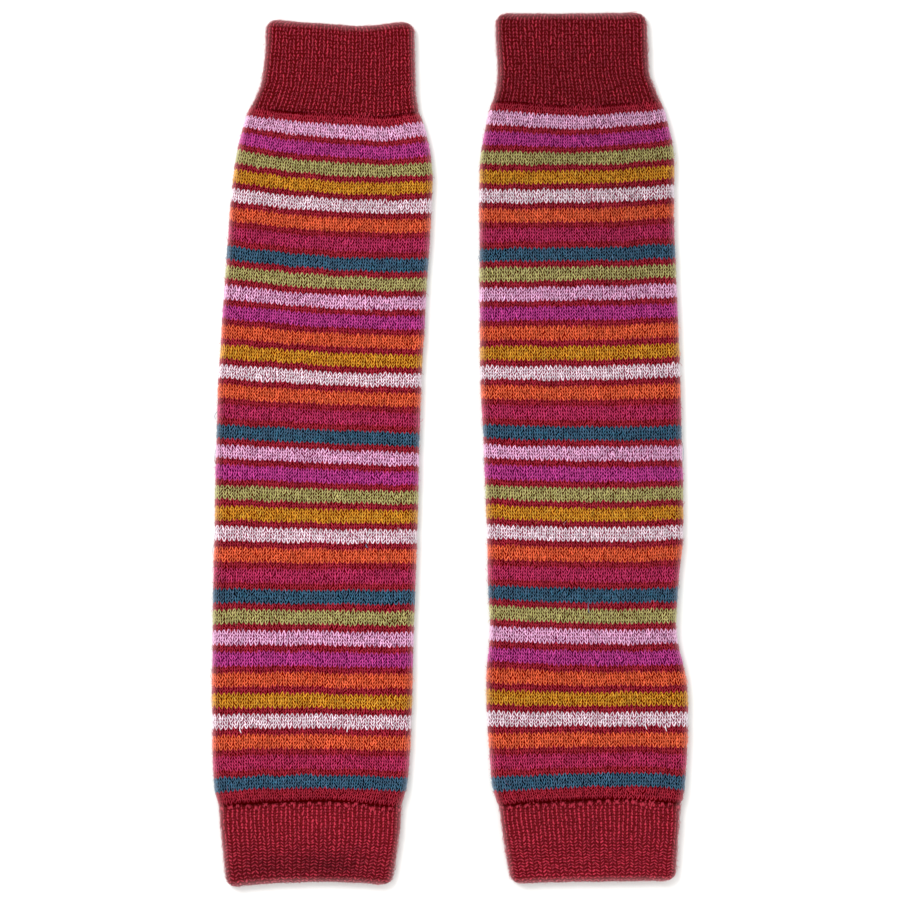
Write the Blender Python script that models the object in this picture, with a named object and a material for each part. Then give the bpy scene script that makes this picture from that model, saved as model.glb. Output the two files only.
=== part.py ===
"""Pair of knitted leg warmers, laid flat side by side with their feet ends spread a little apart.

Each leg warmer is three seamless tubes, worked in the round: a ribbed top cuff, a plain striped body
and a ribbed bottom cuff. A tube lies pressed flat, so that its front panel rests on its back panel,
and is open at both ends. The back panel is flat where it rests, at z = 0.

Sizes in the tables are millimetres in the leg warmer's own frame: x across it, y up towards the top
cuff, z up from the surface. A course is one round of knitting, counted down from the top cuff's seam.
"""
import math
from collections import namedtuple

import bmesh
import bpy

MM = 0.001

# Cloth
PANEL_GAP = 0.5
SEAM_GAP = 0.3
SIDE_LOOP_RAISE = 0.45
SIDE_LOOP_REACH = 3.0

# Cuff ribs, one knit and one purl wale each
RIBS_ACROSS = 21
RIB_DEPTH = 0.6
DITCH_SHARE = 0.2

# Free ends of the cuffs
CORNER_RADIUS = 5.0
WELT_RADIUS = 1.2
BACK_WELT_RADIUS = 0.6
END_STEPS = (0.0, 0.4, 1.2, 2.6, 5.0)

# Fineness of the solids: courses between rings, and steps across a panel and round a quarter fold
COURSES_A_RING = 9
BODY_TOP_STEPS = 15
BACK_STEPS = 8
INNER_STEPS = 8
OUTER_QUARTER_STEPS = 2
INNER_QUARTER_STEPS = 1

# Edges sharper than this stay sharp in the shading
SHARP_DEGREES = 50

# One cross-section a row. y is the height of the course's middle; left_rise and right_rise are how
# far its ends lie above that; shift is the middle's place across; height is over both panels.
Section = namedtuple("Section", "course y left_rise right_rise shift width height")

# A soft ridge in the front panel, raised over a bell-shaped patch that is turned by some degrees.
Fold = namedtuple("Fold", "x y half_long half_short turn raise_by")

# Where a leg warmer lies in the pair: its frame's origin, and its turn in degrees.
Place = namedtuple("Place", "x y turn")

PLACES = {
    "left": Place(-60.75, -0.2, -2.15),
    "right": Place(63.45, 0.8, 1.4),
}

SECTIONS = {
    "left_top_cuff": (
        Section(-26, 206.5, 0.8, 1.6, 0.0, 72.5, 5.2),
        Section(-18, 193.0, -0.5, 1.9, 0.4, 73.0, 5.6),
        Section(-9, 178.0, -0.2, 2.6, 0.2, 75.0, 5.5),
        Section(-4, 170.0, 1.0, 2.4, -0.6, 78.0, 5.3),
        Section(0, 163.0, 1.6, 2.3, -1.3, 82.5, 4.7),
    ),
    "left_body": (
        Section(0, 163.0, 1.6, 2.3, -1.3, 83.0, 5.3),
        Section(5, 155.0, 3.2, 2.1, -0.7, 88.5, 5.8),
        Section(17, 137.0, 4.0, 1.5, -0.4, 95.8, 5.5),
        Section(29, 119.0, 2.9, 1.1, -1.1, 97.8, 5.3),
        Section(47, 90.5, 3.0, 0.9, -1.9, 98.2, 5.2),
        Section(83, 34.7, 1.5, 0.6, -3.3, 98.8, 5.2),
        Section(101, 6.6, 0.6, -0.1, -3.4, 99.0, 5.2),
        Section(131, -41.5, -0.6, 1.4, -2.5, 99.0, 5.2),
        Section(155, -80.5, -2.0, 1.6, -2.2, 98.2, 5.2),
        Section(185, -131.0, -2.5, 1.6, -1.2, 97.2, 5.3),
        Section(203, -160.5, -3.5, 0.6, -0.5, 94.0, 5.6),
        Section(209, -169.5, -4.0, -1.0, -0.6, 89.0, 5.9),
    ),
    "left_bottom_cuff": (
        Section(209, -169.5, -4.0, -1.0, -0.6, 88.0, 4.7),
        Section(213, -175.5, -3.2, -0.4, -0.6, 87.2, 5.3),
        Section(218, -183.0, -2.6, 0.2, -0.5, 86.0, 5.6),
        Section(227, -196.5, -2.5, 0.1, 0.0, 83.0, 5.6),
        Section(235, -208.7, -4.6, -0.4, 0.2, 80.0, 5.4),
    ),
    "right_top_cuff": (
        Section(-26, 210.4, 0.7, -0.8, 0.3, 74.0, 5.2),
        Section(-18, 196.1, 0.9, -0.6, 0.2, 73.8, 5.6),
        Section(-9, 180.7, 1.4, 0.1, 0.6, 74.0, 5.5),
        Section(-4, 172.8, 1.6, 0.5, 1.4, 77.8, 5.3),
        Section(0, 165.8, 2.7, 1.4, 1.6, 82.0, 4.7),
    ),
    "right_body": (
        Section(0, 165.8, 2.7, 1.4, 1.6, 82.5, 5.3),
        Section(5, 157.8, 2.8, 3.0, 1.6, 87.2, 5.8),
        Section(17, 140.0, 1.5, 1.8, 1.4, 94.3, 5.5),
        Section(29, 122.0, 1.0, 0.8, 0.8, 95.0, 5.3),
        Section(47, 94.2, 0.2, -0.2, 0.4, 95.4, 5.2),
        Section(83, 36.6, 1.3, 0.0, 0.3, 97.4, 5.2),
        Section(101, 7.2, 2.1, -0.7, 0.7, 96.7, 5.2),
        Section(131, -41.7, 2.6, -0.9, 0.8, 95.9, 5.2),
        Section(149, -71.1, 2.7, -0.9, -0.9, 92.3, 5.4),
        Section(161, -91.2, 3.2, -0.9, -1.1, 91.2, 5.5),
        Section(173, -111.5, 2.9, -0.8, -0.3, 97.4, 5.3),
        Section(185, -131.0, 1.6, -1.2, -0.1, 98.0, 5.3),
        Section(203, -161.0, -0.3, -2.4, -0.4, 94.2, 5.6),
        Section(209, -169.7, -1.6, -3.0, -0.1, 89.8, 5.9),
    ),
    "right_bottom_cuff": (
        Section(209, -169.7, -1.6, -3.0, -0.1, 88.8, 4.7),
        Section(213, -175.8, -0.8, -2.8, -0.1, 87.8, 5.3),
        Section(218, -183.3, -0.3, -2.3, 0.0, 86.2, 5.6),
        Section(227, -196.8, -0.4, -2.0, 0.1, 83.2, 5.6),
        Section(235, -209.4, -0.2, -0.7, 0.6, 80.6, 5.4),
    ),
}

FOLDS = {
    "left": (
        Fold(-22.0, 158.0, 16.0, 3.6, -8.0, 0.6),
        Fold(29.0, 159.0, 10.0, 3.4, 12.0, 0.5),
        Fold(-27.0, 112.0, 22.0, 6.0, -14.0, 0.4),
        Fold(8.0, -163.5, 17.0, 4.0, 0.0, 0.8),
        Fold(20.0, -60.0, 26.0, 9.0, 8.0, 0.4),
        Fold(-14.0, 30.0, 24.0, 10.0, -6.0, 0.35),
    ),
    "right": (
        Fold(-24.0, 160.0, 13.0, 3.4, -5.0, 0.5),
        Fold(25.0, 162.0, 12.0, 3.6, 10.0, 0.6),
        Fold(30.0, -162.0, 13.0, 4.4, -4.0, 0.9),
        Fold(36.0, -88.0, 16.0, 6.0, 14.0, 0.7),
        Fold(-16.0, 62.0, 26.0, 9.0, 5.0, 0.4),
        Fold(10.0, -20.0, 24.0, 10.0, -7.0, 0.35),
    ),
}

Yarn = namedtuple("Yarn", "red green blue roughness")

YARNS = {
    "top_cuff": Yarn(0.350, 0.018, 0.040, 0.92),
    "body": Yarn(0.420, 0.105, 0.110, 0.92),
    "bottom_cuff": Yarn(0.370, 0.020, 0.044, 0.92),
}


def clear_scene():
    """Remove whatever the open scene holds."""
    for thing in list(bpy.data.objects):
        bpy.data.objects.remove(thing, do_unlink=True)


def make_collection(name):
    """Give a new collection, linked to the scene."""
    collection = bpy.data.collections.new(name)
    bpy.context.scene.collection.children.link(collection)
    return collection


def make_material(name, yarn):
    """Give a rough, uncoated fibre material of the yarn's overall colour."""
    material = bpy.data.materials.new(name)
    material.use_nodes = True
    shader = material.node_tree.nodes["Principled BSDF"]
    shader.inputs["Base Color"].default_value = (yarn.red, yarn.green, yarn.blue, 1.0)
    shader.inputs["Roughness"].default_value = yarn.roughness
    shader.inputs["Metallic"].default_value = 0.0
    return material


def slope(table, index, column):
    """Give a column's change per course at one row, from the rows on either side."""
    before = table[max(index - 1, 0)]
    after = table[min(index + 1, len(table) - 1)]
    return (getattr(after, column) - getattr(before, column)) / (after.course - before.course)


def section_at(table, course):
    """Give the cross-section at any course, on a smooth curve through the table's rows."""
    index = 0
    while index < len(table) - 2 and course > table[index + 1].course:
        index += 1
    first, second = table[index], table[index + 1]
    span = second.course - first.course
    t = (course - first.course) / span
    values = [course]
    for column in Section._fields[1:]:
        start, end = getattr(first, column), getattr(second, column)
        leave = slope(table, index, column) * span
        arrive = slope(table, index + 1, column) * span
        values.append(
            start * (2 * t**3 - 3 * t**2 + 1)
            + leave * (t**3 - 2 * t**2 + t)
            + end * (3 * t**2 - 2 * t**3)
            + arrive * (t**3 - t**2)
        )
    return Section(*values)


def raised(folds, x, y):
    """Give how far the folds raise the front panel at a point."""
    total = 0.0
    for fold in folds:
        turn = math.radians(fold.turn)
        dx, dy = x - fold.x, y - fold.y
        along = dx * math.cos(turn) + dy * math.sin(turn)
        across = dy * math.cos(turn) - dx * math.sin(turn)
        total += fold.raise_by * math.exp(-((along / fold.half_long) ** 2 + (across / fold.half_short) ** 2))
    return total


def rounding(radius, distance):
    """Give how far a rounded edge has drawn in at a distance from its end."""
    if distance >= radius:
        return 0.0
    return radius - math.sqrt(radius**2 - (radius - distance) ** 2)


def course_height(section, x):
    """Give a course's y at a place across it, on a curve through its two ends and its middle."""
    u = (x - section.shift) / (section.width / 2)
    return section.y + section.left_rise * (u * u - u) / 2 + section.right_rise * (u * u + u) / 2


def rib_stations():
    """Give places across the front, 0 to 1, with the depth there: level on a rib, deep in a ditch."""
    stations = []
    for boundary in range(1, RIBS_ACROSS):
        stations.append(((boundary - DITCH_SHARE) / RIBS_ACROSS, 0.0))
        stations.append((boundary / RIBS_ACROSS, RIB_DEPTH))
        stations.append(((boundary + DITCH_SHARE) / RIBS_ACROSS, 0.0))
    return stations


def plain_stations(steps):
    """Give evenly spaced places across a panel, 0 to 1 without its ends, all level."""
    return [(step / steps, 0.0) for step in range(1, steps)]


def arc(centre_x, centre_z, radius, start, end, steps):
    """Give (x, z) points on an arc in the cross-section, both ends included, in degrees."""
    points = []
    for step in range(steps + 1):
        angle = math.radians(start + (end - start) * step / steps)
        points.append((centre_x + radius * math.cos(angle), centre_z + radius * math.sin(angle)))
    return points


def front_raise(section, left, right, folds):
    """Give a function of x: how far the side folds' loops and the soft ridges raise the front."""

    def raise_at(x):
        to_side = min(x - left, right - x) - section.height / 2
        loop = SIDE_LOOP_RAISE * math.exp(-((to_side / SIDE_LOOP_REACH) ** 2))
        return loop + raised(folds, x, course_height(section, x))

    return raise_at


def flat_ring(left, right, floor, ceiling, raise_at, stations, back_steps, quarter_steps):
    """Give a pressed ring's (x, z) points from its left fold, over the front and back underneath.

    Its folds are half round, each quarter in some steps. raise_at(x) is added to the front.
    """
    radius = (ceiling - floor) / 2
    middle = (ceiling + floor) / 2
    first, last = left + radius, right - radius
    front = arc(first, middle, radius, 180, 90, quarter_steps)
    for place, depth in stations:
        front.append((first + (last - first) * place, ceiling - depth))
    front += arc(last, middle, radius, 90, 0, quarter_steps)
    ring = [(x, z + raise_at(x) * min((z - middle) / radius, 1.0)) for x, z in front]
    ring += arc(last, middle, radius, 0, -90, quarter_steps)[1:]
    for step in range(1, back_steps):
        ring.append((last + (first - last) * step / back_steps, floor))
    ring += arc(first, middle, radius, 270, 180, quarter_steps)[:-1]
    return ring


def ring_courses(table, free_end):
    """Give (course, distance from the free end, seam push) for each ring of a tube.

    A free end gets close rings for its rounding. A seam's ring is pushed half the gap into the piece.
    """
    first, last = table[0], table[-1]
    rings = []
    for above, below in zip(table, table[1:]):
        steps = math.ceil((below.course - above.course) / COURSES_A_RING)
        for step in range(steps):
            course = above.course + (below.course - above.course) * step / steps
            rings.append([course, CORNER_RADIUS, 0.0])
    rings.append([last.course, CORNER_RADIUS, 0.0])
    if free_end != "top":
        rings[0][2] = -SEAM_GAP / 2
    if free_end != "bottom":
        rings[-1][2] = SEAM_GAP / 2
    pitch = (first.y - last.y) / (last.course - first.course)
    if free_end == "top":
        close = [[first.course + distance / pitch, distance, 0.0] for distance in END_STEPS]
        rings = close + rings[1:]
    if free_end == "bottom":
        close = [[last.course - distance / pitch, distance, 0.0] for distance in END_STEPS]
        rings = rings[:-1] + close[::-1]
    return rings


def tube_rings(table, folds, stations, free_end):
    """Give the tube's outer and inner rings, as lists of (x, y, z) from its top to its bottom."""
    outer_rings, inner_rings = [], []
    for course, end_distance, push in ring_courses(table, free_end):
        section = section_at(table, course)
        wall = (section.height - PANEL_GAP) / 2
        inset = rounding(CORNER_RADIUS, end_distance)
        left = section.shift - section.width / 2 + inset
        right = section.shift + section.width / 2 - inset
        raise_at = front_raise(section, left, right, folds)
        floor = rounding(BACK_WELT_RADIUS, end_distance)
        ceiling = section.height - rounding(WELT_RADIUS, end_distance)
        outer = flat_ring(left, right, floor, ceiling, raise_at, stations, BACK_STEPS, OUTER_QUARTER_STEPS)
        inner = flat_ring(
            left + wall,
            right - wall,
            wall,
            wall + PANEL_GAP,
            raise_at,
            plain_stations(INNER_STEPS),
            INNER_STEPS,
            INNER_QUARTER_STEPS,
        )
        outer_rings.append([(x, course_height(section, x) + push, z) for x, z in outer])
        inner_rings.append([(x, course_height(section, x) + push, z) for x, z in inner])
    return outer_rings, inner_rings


def add_wall(mesh, rings):
    """Loft through equal rings and give their vertices."""
    loops = [[mesh.verts.new([value * MM for value in point]) for point in ring] for ring in rings]
    for upper, lower in zip(loops, loops[1:]):
        for index in range(len(upper)):
            after = (index + 1) % len(upper)
            mesh.faces.new((upper[index], upper[after], lower[after], lower[index]))
    return loops


def places_round(loop):
    """Give each vertex's place round its ring, 0 to 1, from the left fold over the front."""
    low = min(vertex.co.x for vertex in loop)
    high = max(vertex.co.x for vertex in loop)
    turn = max(range(len(loop)), key=lambda index: loop[index].co.x)
    places = []
    for index, vertex in enumerate(loop):
        across = (vertex.co.x - low) / (high - low) / 2
        places.append(across if index <= turn else 1.0 - across)
    return places + [1.0]


def close_end(mesh, outer, inner):
    """Join a tube's outer and inner ring at one mouth, stepping along whichever ring lags."""
    outer_places, inner_places = places_round(outer), places_round(inner)
    outer, inner = outer + outer[:1], inner + inner[:1]
    i = j = 0
    while i < len(outer) - 1 or j < len(inner) - 1:
        outer_left = i < len(outer) - 1
        inner_left = j < len(inner) - 1
        if outer_left and (not inner_left or outer_places[i + 1] <= inner_places[j + 1]):
            mesh.faces.new((outer[i], outer[i + 1], inner[j]))
            i += 1
        else:
            mesh.faces.new((outer[i], inner[j + 1], inner[j]))
            j += 1


def make_tube(name, table, folds, stations, free_end, yarn, parent, collection):
    """Build one pressed tube as a closed wall, open at both mouths."""
    outer_rings, inner_rings = tube_rings(table, folds, stations, free_end)
    mesh = bmesh.new()
    outer = add_wall(mesh, outer_rings)
    inner = add_wall(mesh, inner_rings)
    close_end(mesh, outer[0], inner[0])
    close_end(mesh, outer[-1], inner[-1])
    bmesh.ops.recalc_face_normals(mesh, faces=mesh.faces)

    origin_x = section_at(table, (table[0].course + table[-1].course) / 2).shift * MM
    origin_y = (table[0].y + table[-1].y) / 2 * MM
    bmesh.ops.translate(mesh, verts=mesh.verts, vec=(-origin_x, -origin_y, 0.0))
    data = bpy.data.meshes.new(name)
    mesh.to_mesh(data)
    mesh.free()
    data.shade_smooth()
    data.set_sharp_from_angle(angle=math.radians(SHARP_DEGREES))
    data.materials.append(make_material(name + "_knit", yarn))

    tube = bpy.data.objects.new(name, data)
    tube.location = (origin_x, origin_y, 0.0)
    tube.parent = parent
    collection.objects.link(tube)
    return tube


def make_leg_warmer(side, collection):
    """Build one leg warmer's three tubes under an empty that sets where it lies."""
    place = PLACES[side]
    frame = bpy.data.objects.new(side + "_leg_warmer", None)
    frame.location = (place.x * MM, place.y * MM, 0.0)
    frame.rotation_euler = (0.0, 0.0, math.radians(place.turn))
    collection.objects.link(frame)
    pieces = (
        ("top_cuff", rib_stations(), "top"),
        ("body", plain_stations(BODY_TOP_STEPS), "none"),
        ("bottom_cuff", rib_stations(), "bottom"),
    )
    for piece, stations, free_end in pieces:
        name = side + "_" + piece
        make_tube(name, SECTIONS[name], FOLDS[side], stations, free_end, YARNS[piece], frame, collection)


def main():
    """Build the pair."""
    clear_scene()
    collection = make_collection("pair_of_leg_warmers")
    for side in ("left", "right"):
        make_leg_warmer(side, collection)


main()
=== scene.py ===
"""Pair of knitted leg warmers laid flat, with every stitch of the knitting on its cloth.

Each tube is a shell of ground cloth with the stitches' V-shaped legs standing on it. Tables and forms
are the garment's own, in millimetres in each leg warmer's frame: x across it, y up to the top cuff and
z up from the surface. A course is one round of knitting, counted down from the top cuff's seam. A
place is how far round the tube a point lies, 0 to 1, from the left fold over the front and back under.
"""

import math
from collections import namedtuple
from types import SimpleNamespace

import bpy
import numpy as np
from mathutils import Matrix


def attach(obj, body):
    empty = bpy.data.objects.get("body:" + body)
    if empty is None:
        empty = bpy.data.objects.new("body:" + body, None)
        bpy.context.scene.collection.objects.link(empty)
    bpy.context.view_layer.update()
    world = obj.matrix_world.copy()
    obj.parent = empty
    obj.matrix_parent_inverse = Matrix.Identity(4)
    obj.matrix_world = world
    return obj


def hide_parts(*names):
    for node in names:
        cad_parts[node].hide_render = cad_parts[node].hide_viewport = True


bl_info = {
    "name": "Leg Warmers",
    "version": (1, 0, 0),
    "blender": (4, 5, 0),
    "location": "3D View > Sidebar > Leg Warmers",
    "description": "Builds a pair of striped knitted leg warmers, stitch by stitch, and their stage",
    "category": "Object",
}

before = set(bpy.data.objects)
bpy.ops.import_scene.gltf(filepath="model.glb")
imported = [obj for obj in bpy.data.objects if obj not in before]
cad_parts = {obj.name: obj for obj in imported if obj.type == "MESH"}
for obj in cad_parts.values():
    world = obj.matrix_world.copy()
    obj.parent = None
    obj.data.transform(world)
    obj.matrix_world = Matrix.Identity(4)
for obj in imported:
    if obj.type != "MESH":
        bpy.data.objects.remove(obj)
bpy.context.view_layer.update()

MM = 0.001
# The distance in mm to a free edge on a tube that has none
FAR = 99.0

# Cloth, as in the solids
PANEL_GAP = 0.5
SIDE_LOOP_RAISE = 0.45
SIDE_LOOP_REACH = 3.0
CORNER_RADIUS = 5.0
# How much narrower the yarn lies than the solids, which reach as far as its fuzz
FUZZ_REACH = 1.0
# How deep a crease can be, as a share of the wall
DEEPEST = 0.97

# Knitting, counted round the tube and along it
WALES = 84
RIBS = 42
FIRST_STRIPE = 3
STRIPE_COURSES = 4
REPEAT_COURSES = 6

# How far the ground cloth lies under the tops of the stitches, and how far a stitch's rim is sunk in it
GROUND_DEPTH = 0.62
RIM_SINK = 0.12

# How much flatter the stitches are on a free edge and round the side folds, how far in mm a free edge
# and a seam flatten the ribs, and the shares of a ditch's depth that are left there
EDGE_FLATTENING = 0.6
SIDE_FLATTENING = 0.4
FLAT_EDGE = 2.4
SEAM_FLAT = 5.0
EDGE_DITCH = 0.35
SEAM_DITCH = 0.3
# How far from an end in mm the stitches are held in line by it, and how high the underside lies
HELD_BY_END = 6.0
UNDERSIDE = 0.01

# The share of its depth that a seam's crease keeps outside its stretches
SEAM_REST = 0.10
# How much painted light a stitch's top gives up in a crease, and the painted shade it lays on all
# hollows
CREASE_TOP_SHADE = 0.7
CREASE_HOLLOW_SHADE = 0.15

# The ground cloth: columns a wale or rib, courses a row, rows inside, steps round an edge, and tone
BODY_COLUMNS = 2
RIB_COLUMNS = 6
BODY_ROW_COURSES = 2
INNER_ROWS = 14
EDGE_STEPS = 5
GROUND_TONE = 0.5
# A mouth at a seam: how many courses it reaches past the seam, and how far it turns in, in mm
MOUTH = SimpleNamespace(outside=0.6, inside=0.5, turned_in=0.7)
# The unrolled map's spare courses past each end, and its margin as a share
MAP_COURSES = 3
MAP_MARGIN = 0.02


def named(kind, table):
    """Give a table with the columns of its rows named."""
    return {key: tuple(kind(*row) for row in rows) for key, rows in table.items()}


# A tube's form at a course: its middle's y, how much higher its sides lie, its middle's x, and size
Section = namedtuple("Section", "course y left_rise right_rise shift width height")
# A long soft mound: its middle, half length and width, turn in degrees, and height or strength
Fold = namedtuple("Fold", "x y half_long half_short turn raise_by")
# Where a leg warmer lies in the pair, in mm and degrees
Place = namedtuple("Place", "x y turn")

PLACES = {
    "left": Place(-60.75, -0.2, -2.15),
    "right": Place(63.45, 0.8, 1.4),
}

SECTIONS = named(Section, {
    "left_top_cuff": (
        (-26, 206.5, 0.8, 1.6, 0, 72.5, 5.2),
        (-18, 193, -0.5, 1.9, 0.4, 73, 5.6),
        (-9, 178, -0.2, 2.6, 0.2, 75, 5.5),
        (-4, 170, 1, 2.4, -0.6, 78, 5.3),
        (0, 163, 1.6, 2.3, -1.3, 82.5, 4.7),
    ),
    "left_body": (
        (0, 163, 1.6, 2.3, -1.3, 83, 5.3),
        (5, 155, 3.2, 2.1, -0.7, 88.5, 5.8),
        (17, 137, 4, 1.5, -0.4, 95.8, 5.5),
        (29, 119, 2.9, 1.1, -1.1, 97.8, 5.3),
        (47, 90.5, 3, 0.9, -1.9, 98.2, 5.2),
        (83, 34.7, 1.5, 0.6, -3.3, 98.8, 5.2),
        (101, 6.6, 0.6, -0.1, -3.4, 99, 5.2),
        (131, -41.5, -0.6, 1.4, -2.5, 99, 5.2),
        (155, -80.5, -2, 1.6, -2.2, 98.2, 5.2),
        (185, -131, -2.5, 1.6, -1.2, 97.2, 5.3),
        (203, -160.5, -3.5, 0.6, -0.5, 94, 5.6),
        (209, -169.5, -4, -1, -0.6, 89, 5.9),
    ),
    "left_bottom_cuff": (
        (209, -169.5, -4, -1, -0.3, 88.8, 4.7),
        (213, -175.5, -3.2, -0.4, -0.1, 88.2, 5.3),
        (218, -183, -2.6, 0.2, 0.1, 87.1, 5.6),
        (227, -196.5, -2.5, 0.1, 0.5, 84, 5.6),
        (235, -208.7, -4.6, -0.4, 0.4, 80.4, 5.4),
    ),
    "right_top_cuff": (
        (-26, 210.4, 0.7, -0.8, 0.3, 74, 5.2),
        (-18, 196.1, 0.9, -0.6, 0.2, 73.8, 5.6),
        (-9, 180.7, 1.4, 0.1, 0.6, 74, 5.5),
        (-4, 172.8, 1.6, 0.5, 1.4, 77.8, 5.3),
        (0, 165.8, 2.7, 1.4, 1.6, 82, 4.7),
    ),
    "right_body": (
        (0, 165.8, 2.7, 1.4, 1.6, 82.5, 5.3),
        (5, 157.8, 2.8, 3, 1.6, 87.2, 5.8),
        (17, 140, 1.5, 1.8, 1.4, 94.3, 5.5),
        (29, 122, 1, 0.8, 0.8, 95, 5.3),
        (47, 94.2, 0.2, -0.2, 0.4, 95.4, 5.2),
        (83, 36.6, 1.3, 0, 0.3, 97.4, 5.2),
        (101, 7.2, 2.1, -0.7, 0.7, 96.7, 5.2),
        (131, -41.7, 2.6, -0.9, 0.8, 95.9, 5.2),
        (149, -71.1, 2.7, -0.9, -0.9, 92.3, 5.4),
        (161, -91.2, 3.2, -0.9, -1.1, 91.2, 5.5),
        (173, -111.5, 2.9, -0.8, -0.3, 97.4, 5.3),
        (185, -131, 1.6, -1.2, -0.1, 98, 5.3),
        (203, -161, -0.3, -2.4, -0.4, 94.2, 5.6),
        (209, -169.7, -1.6, -3, -0.1, 89.8, 5.9),
    ),
    "right_bottom_cuff": (
        (209, -169.7, -1.6, -3, -0.1, 88.8, 4.7),
        (213, -175.8, -0.8, -2.8, -0.1, 87.8, 5.3),
        (218, -183.3, -0.3, -2.3, 0, 86.2, 5.6),
        (227, -196.8, -0.4, -2, 0.1, 83.2, 5.6),
        (235, -209.4, -0.2, -0.7, 0.6, 80.6, 5.4),
    ),
})

# Ridges, and troughs where raise_by is below 0, in the front panel and in the back one underneath
FRONT_FOLDS = named(Fold, {
    "left": (
        (-22, 158, 16, 3.6, -8, 0.6),
        (29, 159, 10, 3.4, 12, 0.5),
        (-27, 112, 22, 6, -14, 0.4),
        (8, -163.5, 17, 4, 0, 0.8),
        (2, -187, 34, 6, 2, 0.5),
        (10, -199.5, 15, 4.5, -4, -0.4),
        (20, -60, 26, 9, 8, 0.4),
        (-14, 30, 24, 10, -6, 0.35),
    ),
    "right": (
        (-24, 160, 13, 3.4, -5, 0.5),
        (25, 162, 12, 3.6, 10, 0.6),
        (30, -162, 13, 4.4, -4, 0.9),
        (36, -88, 16, 6, 14, 0.7),
        (-16, 62, 26, 9, 5, 0.4),
        (10, -20, 24, 10, -7, 0.35),
    ),
})

BACK_FOLDS = named(Fold, {
    "left": (
        (-15, 150, 20, 5, 9, 0.30),
        (24, 88, 18, 6, -12, 0.25),
        (-20, 12, 27, 7, 6, 0.30),
        (16, -72, 21, 5, -7, 0.25),
        (-9, -158, 24, 5.5, 4, 0.30),
    ),
    "right": (
        (18, 154, 17, 5, -8, 0.30),
        (-22, 101, 22, 6.5, 11, 0.25),
        (12, 31, 19, 5.5, 5, 0.25),
        (-27, -49, 15, 6, -13, 0.30),
        (21, -101, 25, 6, 8, 0.30),
        (-12, -161, 20, 4.5, -3, 0.25),
    ),
})

# Patches of painted light, and painted shade where raise_by is below 0, as a share of the yarn's
# brightness: they stand for the shadows of troughs and the light falling off across the pair
PAINTED_LIGHT_PATCHES = named(Fold, {
    "left": (
        (-2, -202, 48, 8.5, 0, -0.26),
        (11, -199.5, 12, 4.5, -4, -0.22),
        (-20, -203, 9, 4.5, 6, -0.12),
        (4, -179, 42, 7, 0, 0.08),
        (0, 130, 60, 30, 0, -0.06),
        (12, -90, 50, 110, 0, 0.05),
    ),
    "right": (
        (6, 165, 95, 80, 0, -0.18),
        (0, -195, 90, 40, 0, 0.05),
        (18, 105, 26, 36, 0, -0.09),
        (40, -20, 14, 150, 0, -0.06),
    ),
})

# The yarn's brightness where its tone is 0 and where it is 1
TONE_RANGE = (0.72, 1.28)
# How far the fibres' painted sheen, a paler colour, reaches from the side folds and free edges in mm,
# and how much of it shows on the edges, over a stitch's gaps and tops, and as true sheen where seen
# aslant
NAP_AT_SIDES = 2.7
NAP_AT_EDGES = 1.7
NAP_ON_EDGES = 0.90
NAP_PALENESS = (0.30, 0.56)
NAP_SHEEN = 0.6

# Where the courses sag or lift from their smooth line: middle, half widths and how far up, if above 0
Sag = namedtuple("Sag", "x course half_wide half_courses lift")
SAGS = named(Sag, {
    "left": (
        (10, -24, 13, 9, -1),
        (28, -24, 9, 9, 0.7),
        (22, 3, 10, 14, -1.4),
        (-6, 14, 60, 20, -1.2),
        (-30, 62, 18, 30, 0.35),
        (-10, 150, 16, 12, -0.5),
        (30, 166, 28, 22, -1.1),
        (-34, 196, 30, 18, 0.45),
        (10, 209, 16, 7, 0.7),
    ),
    "right": (
        (6, 3, 9, 12, -0.9),
        (-28, 3, 9, 9, 0.7),
        (36, 6, 11, 8, -1.2),
        (-2, 60, 40, 56, -0.4),
        (19, 48, 9, 42, -0.5),
        (-5, 117, 50, 7, -0.6),
        (42, 134, 10, 12, 0.8),
        (-36, 188, 14, 10, -0.5),
        (23, 203, 22, 10, 1.3),
    ),
})

# Each side of a seam: how deep its crease can be in mm, how far it reaches, how far that side is sunk
# all along to meet the other, and how much painted shade darkens the yarns in the crease's depth
Seam = namedtuple("Seam", "name depth reach level dark")
SEAMS = {
    ("top_cuff", "bottom"): Seam("upper", 1.2, 0.35, -0.45, 0.85),
    ("body", "top"): Seam("upper", 1.3, 0.65, 0.45, 0.95),
    ("body", "bottom"): Seam("lower", 0.8, 0.9, 0.40, 0.7),
    ("bottom_cuff", "top"): Seam("lower", 1.3, 2.2, -0.35, 0.7),
}

# The stretches in which a seam is creased, as x in mm, half length, and share of the full depth
Stretch = namedtuple("Stretch", "x half_long share")
CREASES = named(Stretch, {
    ("left", "upper", "front"): ((-21, 12, 0.95), (0, 9, 0.5), (29, 13, 0.85)),
    ("left", "upper", "back"): ((-26, 11, 0.7), (8, 19, 0.8)),
    ("right", "upper", "front"): ((-27, 12, 0.9), (-8, 7, 0.7), (21, 10, 0.75)),
    ("right", "upper", "back"): ((-12, 20, 0.8), (27, 9, 0.6)),
    ("left", "lower", "front"): ((-23, 17, 1.0), (3, 16, 0.9), (29, 11, 0.6)),
    ("left", "lower", "back"): ((-17, 21, 0.7), (24, 15, 0.9)),
    ("right", "lower", "front"): ((-27, 14, 1.0), (-4, 15, 0.9), (37, 6, 0.75)),
    ("right", "lower", "back"): ((-25, 15, 0.8), (15, 22, 0.9)),
})

# How the knitting wanders from even: how far, in how many waves round the tube, and over how many
# courses. A crease wanders as a share of its depth, and the rest in mm
Wander = namedtuple("Wander", "size waves courses")
WANDERS = {
    "crease": Wander(0.35, 40, 9.0),
    "bulge": Wander(0.12, 28, 5.0),
    "swell": Wander(0.20, 9, 14.0),
    "sideways": Wander(0.35, 24, 9.0),
    "lengthways": Wander(0.40, 30, 5.0),
}
# How many random values a wander has along a tube, and how many courses over course 0 they begin
WANDER_ROWS = 64
WANDER_START = 40.0
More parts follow.
